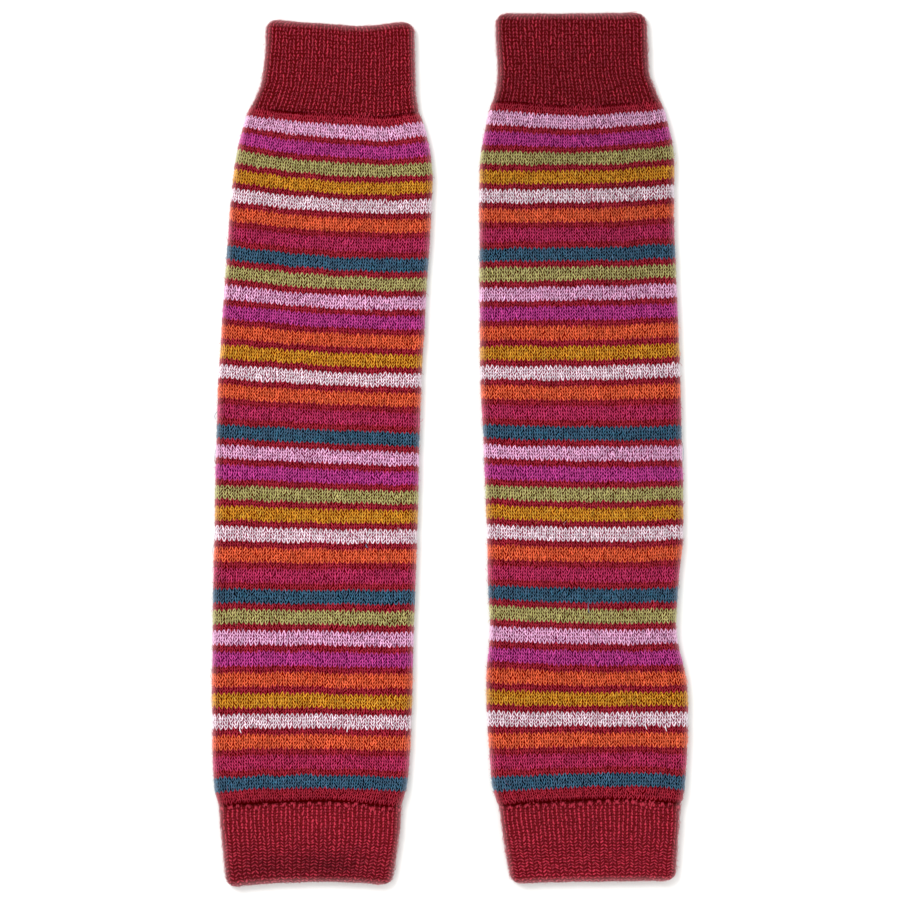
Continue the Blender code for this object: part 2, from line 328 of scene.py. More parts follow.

# The V of a knit stitch, in shares of a wale or rib across and of a course up, its leg in mm, its tone
# and how much painted light its top gets
Stitch = namedtuple("Stitch", "tip_in top_out rise tail half_width lift tone lit")
PLAIN = Stitch(0.02, 0.45, 1.63, 0.66, 0.33, 0.92, 0.50, 1.0)
TOP_RIB = Stitch(0.16, 0.33, 0.98, 0.36, 0.47, 0.80, 0.33, 0.88)
BOTTOM_RIB = Stitch(0.04, 0.49, 0.72, 0.30, 0.48, 0.85, 0.55, 0.90)
# Near its seam the bottom cuff's stitches stand upright; over these courses they spread to zigzags
UPRIGHT_RIB = Stitch(0.19, 0.31, 0.90, 0.34, 0.66, 0.80, 0.58, 0.90)
RIB_SPREADS = (217.0, 225.0)
LEG_BOW = 0.03

# How far stitches stray from even, as spreads: in shares of a wale across and of a course up, in shares
# of their own half width and lift, and in tone; and how far the widths and lifts go at most
STRAYS = SimpleNamespace(
    lean=0.03, tip=0.02, top=0.025, tail=0.12, rise=0.14, half_width=0.14, lift=0.12, tone=0.25
)
WIDTH_RANGE = (0.7, 1.35)
LIFT_RANGE = (0.7, 1.3)

# The share of legs that are pulled in, and how much lower these lie
PULLED_IN = 0.10
PULLED_LIFT = 0.5

# Ditches between ribs, with purl bumps lying across them: how deep in mm, how wide as a share of a
# rib, and the bumps' reach to each side as a share of a rib, half width, lift and tone
Ditch = namedtuple("Ditch", "depth share reach half_width lift tone")
DITCHES = {
    "top_cuff": Ditch(0.35, 0.14, 0.12, 0.32, 0.40, 0.25),
    "bottom_cuff": Ditch(0.4, 0.12, 0.08, 0.30, 0.45, 0.35),
}
# The power that rounds a ditch's bottom, and how the bumps stray from it: in courses up and aslant,
# and as shares of their lift; and how much painted light they get
DITCH_BROADNESS = 0.8
PURL_STRAY = 0.08
PURL_SLANT = 0.15
PURL_LIFTS = (0.7, 1.2)
PURL_LIT = 0.7

# The loops of the lower seam, in shares of a rib across and in courses down, with their sizes in mm
LOOP = SimpleNamespace(
    top=0.3, hang=1.8, spread=0.17, closed=0.05, half_widths=(0.46, 0.62), lifts=(1.0, 1.6),
    tones=(0.0, 0.5), lit=0.85, creased=0.35,
)
LOOP_STRAYS = SimpleNamespace(place=0.08, top=0.25, hang=0.3, spread=0.03)

# How much painted light the ground cloth gets between the stitches, and how strongly the fibres'
# painted sheen shows all over
Cover = namedtuple("Cover", "lit nap")
COVERS = {
    "top_cuff": Cover(0.10, 0.025),
    "body": Cover(0.0, 0.0),
    "bottom_cuff": Cover(0.17, 0.028),
}

# Forms of domes: corners as shares along, to the side and up, and the faces between them
Form = namedtuple("Form", "corners faces")
# A stitch's leg, thick at the V's tip
LEG = Form(
    (
        (0.0, 0.0, 0.1), (0.16, -0.95, 0.1), (0.16, 0.95, 0.1), (0.13, 0.0, 1.0),
        (0.84, 0.0, 0.95), (0.84, -0.8, 0.1), (0.84, 0.8, 0.1), (1.0, 0.0, 0.1),
    ),
    ((0, 3, 1), (0, 2, 3), (1, 3, 4), (1, 4, 5), (2, 4, 3), (2, 6, 4), (5, 4, 7), (6, 7, 4)),
)
# A leg of the back, which is plainer
BACK = Form(
    (
        (0.0, 0.0, 0.0), (0.5, -1.0, 0.15), (0.5, 1.0, 0.15),
        (0.32, 0.0, 1.0), (0.68, 0.0, 1.0), (1.0, 0.0, 0.0),
    ),
    ((0, 3, 1), (0, 2, 3), (1, 3, 4), (2, 4, 3), (1, 4, 5), (2, 5, 4)),
)
# A round loop: its rim, then its broad top
BEAD = Form(
    (
        (0.0, 0.0, 0.1), (0.25, -1.0, 0.1), (0.75, -0.85, 0.1),
        (1.0, 0.0, 0.1), (0.75, 0.85, 0.1), (0.25, 1.0, 0.1),
        (0.2, 0.0, 0.9), (0.5, -0.5, 1.0), (0.8, 0.0, 0.9), (0.5, 0.5, 1.0),
    ),
    (
        (0, 6, 1), (1, 6, 7), (1, 7, 2), (2, 7, 8), (2, 8, 3), (0, 5, 6),
        (5, 9, 6), (5, 4, 9), (4, 8, 9), (4, 3, 8), (6, 9, 7), (7, 9, 8),
    ),
)
# How high a strand's ridge stands over its sides, and its rise along a yarn end and along a fibre
STRAND_RIDGE = 0.15
LOOSE_RISES = (0.0, 0.55, 0.9, 1.0, 0.8, 0.4)
FUZZ_RISES = (0.0, 0.75, 1.0)

# How many fibres of fuzz there are over a front, and along its outline
BODY_FUZZ = (2600, 3000)
CUFF_FUZZ = (600, 1800)
# Where fibres start, as places and as spreads off the folds and in courses off the free edges; their
# lengths and lifts in mm, as a gamma curve's shape and scale over the least; and how they look, with
# the outline's fibres painted lighter, as light shines through them
FUZZ = SimpleNamespace(
    places=(0.005, 0.495), fold_spread=0.008, end_places=(0.01, 0.49), end_spread=0.3,
    lengths=(3.0, 0.45), least_length=0.7, round_share=0.3,
    lifts=(2.0, 0.10), least_lift=0.10, outline_lifts=(2.0, 0.25), least_outline_lift=0.2,
    half_widths=(0.025, 0.05), tones=(0.30, 0.75), outline_tones=(0.8, 1.4), bow=0.22, depth=0.15,
)

# Yarn ends and long stray fibres: from and to a place and course, how far they rise off the cloth,
# half width and bow, and the yarn
Loose = namedtuple("Loose", "place course to_place to_course rise half_width bow yarn")
LOOSE = named(Loose, {
    "left_body": (
        (0.074, 186, 0.079, 188.4, 0.9, 0.20, 0.1, "white"),
        (0.341, 185.9, 0.336, 188.2, 0.8, 0.20, -0.1, "white"),
        (0.064, 17, 0.069, 20, 0.7, 0.16, 0.3, "green"),
        (0.072, 18.2, 0.066, 19.6, 0.6, 0.12, -0.3, "green"),
        (0.372, 133, 0.377, 134.4, 0.6, 0.26, 0.2, "teal"),
        (0.998, 94.8, 0.999, 97.6, 2.6, 0.10, 0.1, "teal"),
        (0.999, 105.9, 0.998, 111, 1.9, 0.09, -0.1, "teal"),
        (0.001, 124, 0.999, 126.5, 1.4, 0.08, 0.1, "pink"),
        (0.999, 134, 0.001, 137.4, 1.7, 0.08, 0.1, "teal"),
        (0.998, 140.4, 0.999, 142.6, 1.5, 0.08, 0, "purple"),
        (0.999, 148.8, 0.998, 150.3, 1.3, 0.08, 0.1, "teal"),
        (0.501, 66, 0.502, 68.6, 1.3, 0.07, 0.1, "green"),
    ),
    "right_body": (
        (0.388, 185.8, 0.394, 188.2, 0.8, 0.19, 0.05, "white"),
        (0.438, 186, 0.442, 188.6, 0.8, 0.19, 0.08, "white"),
        (0.262, 150.2, 0.266, 154.3, 0.9, 0.17, 0.06, "teal"),
        (0.999, 96.4, 0.998, 99.8, 1.5, 0.08, 0.1, "purple"),
        (0.998, 108, 0.999, 111.3, 1.6, 0.08, 0.1, "teal"),
        (0.502, 77, 0.501, 79.1, 1.6, 0.09, 0, "orange"),
        (0.501, 87, 0.502, 89, 2, 0.09, 0.1, "white"),
        (0.502, 103, 0.501, 110, 1.6, 0.09, -0.1, "teal"),
        (0.501, 145.9, 0.502, 147.6, 1.5, 0.08, 0.1, "teal"),
    ),
    "left_bottom_cuff": ((0.502, 227.6, 0.501, 230.4, 1.5, 0.08, 0.1, "crimson"),),
})
# How these lie under the stitches' tops in mm, and their tone
LOOSE_DEPTH = 0.3
LOOSE_TONE = 0.6

# Yarns, as colours in sRGB: the lit top of a stitch, the hollow beside it in painted shade with the
# yarn seen there, and the flecks spun into it
Yarn = namedtuple("Yarn", "top gap fleck flecked")
YARNS = {
    "crimson": Yarn("B32B41", "4A0000", "BC3A40", 0.25),
    "pink": Yarn("FFCCF0", "6A083E", "EC98CE", 0.35),
    "purple": Yarn("D84EA6", "480028", "B0308A", 0.35),
    "green": Yarn("CCC482", "420C00", "9CA050", 0.50),
    "mustard": Yarn("E8A430", "5E0A00", "E4BC48", 0.60),
    "white": Yarn("FFF4FC", "822444", "FCE8F4", 0.35),
    "orange": Yarn("FA764C", "6E0000", "E05828", 0.35),
    "raspberry": Yarn("D23C70", "4A0006", "AC2850", 0.35),
    "teal": Yarn("4E708C", "000004", "3682A2", 0.60),
}
LONG_RUN = ("green", "pink", "purple", "orange", "mustard", "white", "orange", "raspberry", "teal")
SHORT_RUN = ("pink", "purple", "green", "mustard", "white", "orange", "raspberry", "teal")
STRIPES = SHORT_RUN + LONG_RUN + SHORT_RUN + LONG_RUN

# Spun wool blend as a noise's scale, detail and roughness: its fibres lie in tufts about 0.4 mm across,
# and flecks of a second fibre colour run for about 2 mm of yarn
TUFTS = (2500.0, 3.0, 0.6)
FLECKS = (520.0, 2.0, 0.5)
FLECK_RANGE = (0.45, 0.70)
# How high the tufts stand in mm, how much painted light they add to a stitch beside its own form, where
# painted shade turns to lit top, and the range over which its top gains gloss
TUFT_HEIGHT = 0.2
TUFT_LIGHT = 0.8
LIT_RANGE = (0.50, 1.15)
GLOSS_RANGE = (0.95, 1.45)
MOST_GLOSS = 0.40
# How near to white the nap and its sheen are
NAP_WHITE = 0.30
SHEEN_WHITE = 0.35
# The floor card's mottles, and how bright it is in and out of them
MOTTLES_PER_METRE = 12.0
MOTTLE_RANGE = (0.985, 1.0)

# The stage in metres and degrees: a floor just under the cloth, a soft light and a camera
FLOOR_SIZE = 3.0
FLOOR_DROP = 0.0001
KEY_PLACE = (-0.9, 0.9, 1.5)
KEY_SIZE = 0.9
KEY_TURN = (-40.3, -31.0, 0.0)
SENSOR_WIDTH = 36.0

# A tube's facts: round_count is its wales or ribs, first and last its end courses, pitch a course's
# height in mm, and free_end None on a body
Tube = namedtuple("Tube", "name side part table free_end round_count columns first last pitch seed")
# Lines that domes lie along: rows of place and course, sizes in mm, tone and the yarn's number
Lines = namedtuple("Lines", "starts ends half_width lift tone yarn")


def linear(hexes):
    """Give an sRGB hex colour as linear red, green and blue."""
    values = [int(hexes[i : i + 2], 16) / 255 for i in (0, 2, 4)]
    return tuple(v / 12.92 if v <= 0.04045 else ((v + 0.055) / 1.055) ** 2.4 for v in values)


def paler(colour, white):
    """Give a linear colour mixed with a share of white, with its alpha."""
    return (*(white + (1.0 - white) * value for value in colour), 1.0)


def colour_property(name, description, hexes):
    """Give a colour setting for the sidebar."""
    colour = linear(hexes)
    return bpy.props.FloatVectorProperty(
        name=name, description=description, subtype="COLOR", size=3, min=0.0, max=1.0, default=colour
    )


class LegWarmerKnit(bpy.types.PropertyGroup):
    """The knitting's sizes."""

    unevenness: bpy.props.FloatProperty(
        name="Unevenness",
        description="How far the stitches stray from an even grid, 0 for machine-perfect",
        default=1.0, min=0.0, max=2.0, subtype="FACTOR",
    )
    crease: bpy.props.FloatProperty(
        name="Seam creases",
        description="How deep the creases at the cuffs' seams are, as a share of their usual depth",
        default=1.0, min=0.0, max=1.2, subtype="FACTOR",
    )
    stitch_height: bpy.props.FloatProperty(
        name="Stitch height",
        description="How far the knit stitches stand above the ground cloth",
        default=PLAIN.lift * MM, min=0.0003, max=0.0012, unit="LENGTH",
    )


class LegWarmerYarns(bpy.types.PropertyGroup):
    """The yarns' colours, as seen on top of a lit stitch."""

    __annotations__ = {
        name: colour_property(name.capitalize(), f"The {name} yarn", yarn.top)
        for name, yarn in YARNS.items()
    }


class LegWarmerStage(bpy.types.PropertyGroup):
    """The floor, the lights and the camera."""

    floor_colour: colour_property("Floor", "The pale floor", "F6F6F4")
    camera_height: bpy.props.FloatProperty(
        name="Camera height",
        description="How far the camera stands above the floor",
        default=2.0, min=0.6, max=5.0, unit="LENGTH",
    )
    seen_width: bpy.props.FloatProperty(
        name="Seen width",
        description="How much of the floor the picture shows across",
        default=0.4356, min=0.1, max=2.0, unit="LENGTH",
    )
    key_power: bpy.props.FloatProperty(
        name="Key light",
        description="The large soft light's power",
        default=20.8, min=0.0, unit="POWER",
    )
    sky: bpy.props.FloatProperty(
        name="Room light",
        description="How bright the white room round the stage is",
        default=1.045, min=0.0,
    )


def section_at(tube, course):
    """Give a Section of arrays at an array of courses, on a smooth curve through the tube's rows.

    Past an end it keeps the end's values, but for y, which goes on at the same pitch.
    """
    rows = np.array(tube.table, float)
    courses = rows[:, 0]
    gaps = np.diff(rows, axis=0)
    slopes = np.empty_like(rows)
    slopes[0] = gaps[0] / gaps[0, 0]
    slopes[-1] = gaps[-1] / gaps[-1, 0]
    slopes[1:-1] = (gaps[:-1] + gaps[1:]) / (gaps[:-1, :1] + gaps[1:, :1])
    course = np.asarray(course, float)
    held = np.clip(course, courses[0], courses[-1])
    index = np.clip(np.searchsorted(courses, held) - 1, 0, len(courses) - 2)
    span = (courses[index + 1] - courses[index])[..., None]
    t = (held[..., None] - courses[index][..., None]) / span
    values = (
        rows[index] * (2 * t**3 - 3 * t**2 + 1)
        + slopes[index] * span * (t**3 - 2 * t**2 + t)
        + rows[index + 1] * (3 * t**2 - 2 * t**3)
        + slopes[index + 1] * span * (t**3 - t**2)
    )
    section = Section(*np.moveaxis(values, -1, 0))
    y = section.y - (course - held) * tube.pitch
    return section._replace(y=y, width=section.width - FUZZ_REACH)


def round_of(section):
    """Give how far it is round a section in millimetres."""
    return 2 * (section.width - section.height) + math.pi * section.height


def to_ends(tube, course):
    """Give how far each course is from a tube's ends in millimetres."""
    return {"top": (course - tube.first) * tube.pitch, "bottom": (tube.last - course) * tube.pitch}


def raised(folds, x, y):
    """Give how far the folds raise a panel at each point."""
    total = np.zeros_like(x)
    for fold in folds:
        turn = math.radians(fold.turn)
        dx, dy = x - fold.x, y - fold.y
        along = dx * math.cos(turn) + dy * math.sin(turn)
        aside = dy * math.cos(turn) - dx * math.sin(turn)
        near = (along / fold.half_long) ** 2 + (aside / fold.half_short) ** 2
        total += fold.raise_by * np.exp(-near)
    return total


def drawn_in(radius, distance):
    """Give how far a rounded corner has drawn in at each distance from the end."""
    inside = np.clip(radius - distance, 0.0, radius)
    return radius - np.sqrt(radius**2 - inside**2)


def drift(tube, wander, place, course):
    """Give how far a wander goes at each point, smooth, random and joined up round the tube."""
    size, waves, courses = WANDERS[wander]
    rng = np.random.default_rng(tube.seed + 1 + list(WANDERS).index(wander))
    grid = rng.uniform(-1.0, 1.0, (WANDER_ROWS, waves))
    aside = np.asarray(place) * waves
    down = (np.asarray(course) + WANDER_START) / courses
    i, j = np.floor(down).astype(int), np.floor(aside).astype(int)
    s, t = down - i, aside - j
    s, t = s * s * (3 - 2 * s), t * t * (3 - 2 * t)
    i, j = i % WANDER_ROWS, j % waves
    below, after = (i + 1) % WANDER_ROWS, (j + 1) % waves
    upper = grid[i, j] * (1 - t) + grid[i, after] * t
    lower = grid[below, j] * (1 - t) + grid[below, after] * t
    return size * (upper * (1 - s) + lower * s)


def ditch(place, share):
    """Give a rib's ditch at each place round the tube: 1 in its middle and 0 on the rib."""
    phase = np.abs((place * RIBS + 0.5) % 1.0 - 0.5)
    return np.clip(1.0 - phase / share, 0.0, 1.0) ** DITCH_BROADNESS


def across(tube, place, course):
    """Give the x of places on the pressed tube, and whether each lies in front."""
    section = section_at(tube, course)
    front = place % 1.0 < 0.5
    folded = np.where(front, place % 1.0, 1.0 - place % 1.0) * 2
    return section.shift + section.width * (folded - 0.5), front


def shade(tube, place, course):
    """Give the painted light and shade of PAINTED_LIGHT_PATCHES at each point, as a change of tone."""
    x = across(tube, place, course)[0]
    y = np.broadcast_to(section_at(tube, course).y, x.shape)
    return raised(PAINTED_LIGHT_PATCHES[tube.side], x, y) / (TONE_RANGE[1] - TONE_RANGE[0])


def nap(tube, place, course):
    """Give how strongly the fibres' painted sheen shows at each point: most along the outline."""
    off_fold = np.abs((place * 2 + 0.5) % 1.0 - 0.5) / 2 * round_of(section_at(tube, course))
    off_edge = to_ends(tube, course).get(tube.free_end, np.full_like(course, FAR))
    sides = np.exp(-((off_fold / NAP_AT_SIDES) ** 2))
    edges = NAP_ON_EDGES * np.exp(-((np.maximum(off_edge, 0.0) / NAP_AT_EDGES) ** 2))
    return np.maximum(np.maximum(sides, edges), COVERS[tube.part].nap)


def seam_crease(stretches, x):
    """Give the share of its full depth that a seam's crease has at each x."""
    share = np.full_like(x, SEAM_REST)
    for stretch in stretches:
        near = np.exp(-(((x - stretch.x) / stretch.half_long) ** 4))
        share = np.maximum(share, stretch.share * near)
    return share


def seam_sink(tube, place, course):
    """Give how far the seams' creases sink the cloth in mm, and how much painted shade they lay on it.
    """
    x, front = across(tube, place, course)
    sunk, painted_crease_shade = np.zeros_like(x), np.zeros_like(x)
    for end, to_seam in to_ends(tube, course).items():
        seam = SEAMS.get((tube.part, end))
        if seam:
            panels = (CREASES[(tube.side, seam.name, panel)] for panel in ("front", "back"))
            creased = np.where(front, *(seam_crease(panel, x) for panel in panels))
            creased = creased * (1.0 + drift(tube, "crease", place, course * 0))
            near = np.exp(-((np.maximum(to_seam, 0.0) / seam.reach) ** 2))
            sunk += (seam.level + seam.depth * creased) * near
            painted_crease_shade += seam.dark * creased * near
    return sunk, np.clip(painted_crease_shade, 0.0, 1.0)


def on_cloth(tube, place, course, out):
    """Give points on a tube's cloth, in metres in the row frame.

    out is in millimetres outward from the tops of the stitches, so the cloth is below 0.
    """
    knit = bpy.context.scene.leg_warmer_knit
    place, course, out = np.broadcast_arrays(
        *(np.asarray(values, float) for values in (place, course, out))
    )
    ends = to_ends(tube, course)

    # A free edge turns over in a half round, as wide as the wall
    edge = (section_at(tube, course).height - PANEL_GAP) / 4
    to_end = ends.get(tube.free_end, np.full_like(course, FAR))
    turn = np.clip((edge - to_end) / edge, 0.0, math.pi)
    flat_course = course
    if tube.free_end == "top":
        flat_course = np.maximum(course, tube.first + edge / tube.pitch)
    if tube.free_end == "bottom":
        flat_course = np.minimum(course, tube.last - edge / tube.pitch)
    section = section_at(tube, flat_course)
    wall = (section.height - PANEL_GAP) / 2
    from_end = np.where(turn > 0, edge * (1 - np.sin(np.minimum(turn, math.pi / 2))), to_end)
    inset = drawn_in(CORNER_RADIUS, from_end)

    # Depth into the wall, with the seams' creases and the ribs' ditches worn off towards the inside
    surface = np.clip(1.0 + out / wall, 0.0, 1.0)
    front = place % 1.0 < 0.5
    sunk = seam_sink(tube, place, course)[0] * knit.crease
    if tube.part != "body":
        rib = DITCHES[tube.part]
        to_seam = np.maximum(ends["bottom" if tube.free_end == "top" else "top"], 0.0)
        ribbed = np.clip(to_end / FLAT_EDGE, EDGE_DITCH, 1.0)
        ribbed = ribbed * np.clip(to_seam / SEAM_FLAT, SEAM_DITCH, 1.0)
        sunk += rib.depth * ditch(place, rib.share) * ribbed
    # Stitches lie flatter on a free edge, so that it is smooth
    flat_share = EDGE_FLATTENING * np.clip(1.0 - to_end / FLAT_EDGE, 0.0, 1.0)
    out = np.where(out > -wall / 2, out * (1.0 - flat_share), out)
    loose = drift(tube, "bulge", place, course) + drift(tube, "swell", place, course)
    sunk += knit.unevenness * np.where(front, loose, np.abs(loose))
    deepest = -DEEPEST * wall
    depth = np.where(out > deepest, np.maximum(out - sunk * surface, deepest), out)
    reach = np.where(turn > 0, (edge + depth) * np.sin(turn), 0.0)
    depth = np.where(turn > 0, (edge + depth) * np.cos(turn) - edge, depth)

    # Round the pressed ring
    radius = section.height / 2
    left = section.shift - section.width / 2 + inset
    right = section.shift + section.width / 2 - inset
    quarter = radius * math.pi / 2
    level = right - left - 2 * radius
    share = place % 1.0
    along = np.where(front, share, 1.0 - share) * 2 * (level + 2 * quarter)
    along_right = level + 2 * quarter - along
    angle = np.clip(np.minimum(along, along_right) / radius, 0.0, math.pi / 2)
    sideways = np.where(along < along_right, -1.0, 1.0)
    flatter = 1.0 - SIDE_FLATTENING * np.cos(angle) ** 2
    depth = np.where(depth > -wall / 2, depth * flatter, depth)
    middle = left + radius + np.clip(along - quarter, 0.0, level)
    x = middle + sideways * (radius + depth) * np.cos(angle)
    rise = (radius + depth) * np.sin(angle)

    # Courses, with their sags and the stitches' own wandering
    u = (x - section.shift) / (section.width / 2)
    y = section.y + section.left_rise * (u * u - u) / 2 + section.right_rise * (u * u + u) / 2
    for sag in SAGS[tube.side]:
        off_x, off_course = (x - sag.x) / sag.half_wide, (course - sag.course) / sag.half_courses
        y += sag.lift * np.exp(-(off_x**2) - off_course**2)
    to_side = np.minimum(x - left, right - x) - radius
    loops = SIDE_LOOP_RAISE * np.exp(-((to_side / SIDE_LOOP_REACH) ** 2))
    z = np.where(
        front,
        radius + rise + (loops + raised(FRONT_FOLDS[tube.side], x, y)) * np.sin(angle),
        radius - rise + raised(BACK_FOLDS[tube.side], x, y) * np.sin(angle),
    )
    stray = np.clip(np.minimum(ends["top"], ends["bottom"]) / HELD_BY_END, 0.0, 1.0) * knit.unevenness
    x = x + np.sin(angle) * stray * drift(tube, "sideways", place, course)
    y = y + stray * drift(tube, "lengthways", place, course)
    y = y + {"top": reach, "bottom": -reach}.get(tube.free_end, 0.0)
    # The surface underneath presses the stitches flat
    z = np.maximum(z, UNDERSIDE)

    spot = PLACES[tube.side]
    c, s = math.cos(math.radians(spot.turn)), math.sin(math.radians(spot.turn))
    return np.stack((spot.x + c * x - s * y, spot.y + s * x + c * y, z), axis=-1) * MM


def make_piece(tube, label, place, course, points, faces, slots, yarns, crest, tone):
    """Make a smooth mesh object from arrays, with its yarns, their attributes and an unrolled map."""
    name = f"{tube.name}_{label}"
    mesh = bpy.data.meshes.new(name)
    mesh.from_pydata(points.reshape(-1, 3).tolist(), [], faces.tolist())
    for yarn in yarns:
        mesh.materials.append(yarn)
    mesh.polygons.foreach_set("material_index", slots.astype(np.int32))
    for key, values in (("crest", crest), ("tone", tone), ("nap", nap(tube, place, course))):
        attribute = mesh.attributes.new(key, "FLOAT", "POINT")
        attribute.data.foreach_set("value", values.astype(np.float32).ravel())
    first, last = tube.first - MAP_COURSES, tube.last + MAP_COURSES
    shares = np.stack((place, (last - course) / (last - first)), axis=-1).reshape(-1, 2)
    unrolled = MAP_MARGIN + (1.0 - 2 * MAP_MARGIN) * shares
    corners = np.empty(len(mesh.loops), np.int32)
    mesh.loops.foreach_get("vertex_index", corners)
    layer = mesh.uv_layers.new(name="OFBake")
    layer.uv.foreach_set("vector", unrolled[corners].astype(np.float32).ravel())
    mesh.shade_smooth()
    mesh.update()
    piece = bpy.data.objects.new(name, mesh)
    bpy.context.scene.collection.objects.link(piece)
    return piece


def yarn_at(course):
    """Give the yarn's number at each whole course: its place in YARNS."""
    names = list(YARNS)
    numbers = np.zeros(np.shape(course), int)
    for stripe, name in enumerate(STRIPES):
        start = FIRST_STRIPE + REPEAT_COURSES * stripe
        numbers[(course >= start) & (course < start + STRIPE_COURSES)] = names.index(name)
    return numbers


def make_ground(tube, yarns):
    """Make a tube's ground cloth: a closed shell, pressed flat and open at both mouths."""
    first, last = tube.first, tube.last
    wall = (tube.table[0].height - PANEL_GAP) / 2
    body = tube.part == "body"
    rows = range(first + 1, last + 1, BODY_ROW_COURSES) if body else range(first + 1, last)
    outer = [(course, -GROUND_DEPTH) for course in rows]
    inner = [(course, -wall) for course in np.linspace(last - 2, first + 2, INNER_ROWS)]
    # A free edge is a half round of rings, and a seam's mouth is one ring turned in
    over = math.pi * wall / 2 / tube.pitch * np.arange(EDGE_STEPS + 1) / EDGE_STEPS
    if tube.free_end == "top":
        top = [(first - step, -GROUND_DEPTH) for step in over]
    else:
        top = [(first - MOUTH.outside, -GROUND_DEPTH - MOUTH.turned_in)]
        inner.append((first - MOUTH.inside, -wall))
    if tube.free_end == "bottom":
        bottom = [(last + step, -GROUND_DEPTH) for step in over]
    else:
        bottom = [(last + MOUTH.outside, -GROUND_DEPTH - MOUTH.turned_in)]
        inner.insert(0, (last + MOUTH.inside, -wall))
    rings = top[::-1] + outer + bottom + inner
    course, out = (np.array(values, float)[:, None] for values in zip(*rings))
    place = (np.arange(tube.columns) / tube.columns)[None, :]
    points = on_cloth(tube, place, course, out)
    grid = np.arange(len(rings) * tube.columns).reshape(len(rings), tube.columns)
    below, after = np.roll(grid, -1, axis=0), np.roll(grid, -1, axis=1)
    faces = np.stack((grid, below, np.roll(below, -1, axis=1), after), axis=-1).reshape(-1, 4)
    place, course = np.broadcast_arrays(place, course)
    # A face has the yarn of its upper ring, with a little added against rounding
    slots = yarn_at(np.floor(np.minimum(course, np.roll(course, -1, axis=0)) + 0.01)).ravel()
    # Painted shade: the ground shows the hollows' shaded colour, darker still in a seam's crease
    painted_crease_shade = seam_sink(tube, place, course)[1]
    lit = COVERS[tube.part].lit
    crest = lit - (CREASE_HOLLOW_SHADE + lit) * painted_crease_shade
    # The tone holds the patches of painted light and shade, and the crease's painted shade
    tone = (GROUND_TONE + shade(tube, place, course)) * (1.0 - painted_crease_shade)
    return make_piece(
        tube, "ground_cloth", place, course, points, faces, slots, yarns, crest, tone
    )


def domes(tube, label, lines, level, form, yarns, bow=LEG_BOW, lit=1.0, creased=1.0):
    """Make one joined mesh of domes, one along each line.

    level is their rims' height over the tops of the stitches in millimetres, so it is below 0. bow is
    how far a dome bends aside as a share of its length, lit is how much painted light its top gets, and
    creased how much of that a seam's crease turns to painted shade.
    """
    along, side, up = (np.array(values)[None, :] for values in zip(*form.corners))
    round_mm = round_of(section_at(tube, lines.starts[:, 1]))[:, None]
    step = lines.ends - lines.starts
    run, climb = step[:, :1] * round_mm, -step[:, 1:] * tube.pitch
    length = np.hypot(run, climb)
    bend = np.reshape(bow, (-1, 1)) * length * np.sin(math.pi * along) * np.sign(run)
    beside = side * lines.half_width[:, None] + bend
    place = lines.starts[:, :1] + step[:, :1] * along + beside * climb / length / round_mm
    course = lines.starts[:, 1:] + step[:, 1:] * along + beside * run / length / tube.pitch
    points = on_cloth(tube, place, course, level + up * lines.lift[:, None])
    base = np.arange(len(step))[:, None, None] * len(form.corners)
    faces = (np.array(form.faces)[None] + base).reshape(-1, 3)
    slots = np.repeat(lines.yarn, len(form.faces))
    # Painted shade: a seam's crease takes the tops' painted light away and darkens the tone
    painted_crease_shade = seam_sink(tube, place, course)[1] * creased
    crest = lit * np.clip(up, 0.0, 1.0) * (1.0 - CREASE_TOP_SHADE * painted_crease_shade) - CREASE_HOLLOW_SHADE * painted_crease_shade
    # The tone holds the stitch's own tone, the patches of painted light and shade, and the crease's
    # painted shade
    tone = (lines.tone[:, None] + shade(tube, place, course)) * (1.0 - painted_crease_shade)
    return make_piece(tube, label, place, course, points, faces, slots, yarns, crest, tone)


def grid_of(*ranges):
    """Give every combination of some ranges' values, as flat arrays."""
    return (values.ravel() for values in np.meshgrid(*ranges, indexing="ij"))


def stitch_lines(tube, stitch, courses, seed):
    """Give the legs of every stitch of some courses as Lines, and the wale or rib of each."""
    rng = np.random.default_rng(seed)
    unevenness = bpy.context.scene.leg_warmer_knit.unevenness
    wale, course, hand = grid_of(np.arange(tube.round_count), courses, (-1, 1))
    count = len(wale)
    if tube.part == "bottom_cuff":
        share = np.interp(course, RIB_SPREADS, (0.0, 1.0))
        stitch = Stitch(*(near + (far - near) * share for near, far in zip(UPRIGHT_RIB, stitch)))

    def stray(size):
        return rng.normal(0.0, size * unevenness, count)

    lean = np.repeat(rng.normal(0.0, STRAYS.lean * unevenness, count // 2), 2)
    start = wale + 0.5 + hand * stitch.tip_in + stray(STRAYS.tip) + lean
    end = wale + 0.5 + hand * (stitch.top_out + stray(STRAYS.top)) + lean
    tip = course + 0.5 + stitch.tail
    starts = np.column_stack((start / tube.round_count, tip + stray(STRAYS.tail)))
    ends = np.column_stack((end / tube.round_count, tip - stitch.rise + stray(STRAYS.rise)))
    half_width = stitch.half_width * np.clip(1.0 + stray(STRAYS.half_width), *WIDTH_RANGE)
    lift = stitch.lift * np.clip(1.0 + stray(STRAYS.lift), *LIFT_RANGE)
    pulled = rng.uniform(0.0, 1.0, count) < PULLED_IN * unevenness
    lift = np.where(pulled, lift * PULLED_LIFT, lift)
    tone = np.clip(stitch.tone + stray(STRAYS.tone), 0.0, 1.0)
    return Lines(starts, ends, half_width, lift, tone, yarn_at(course)), wale


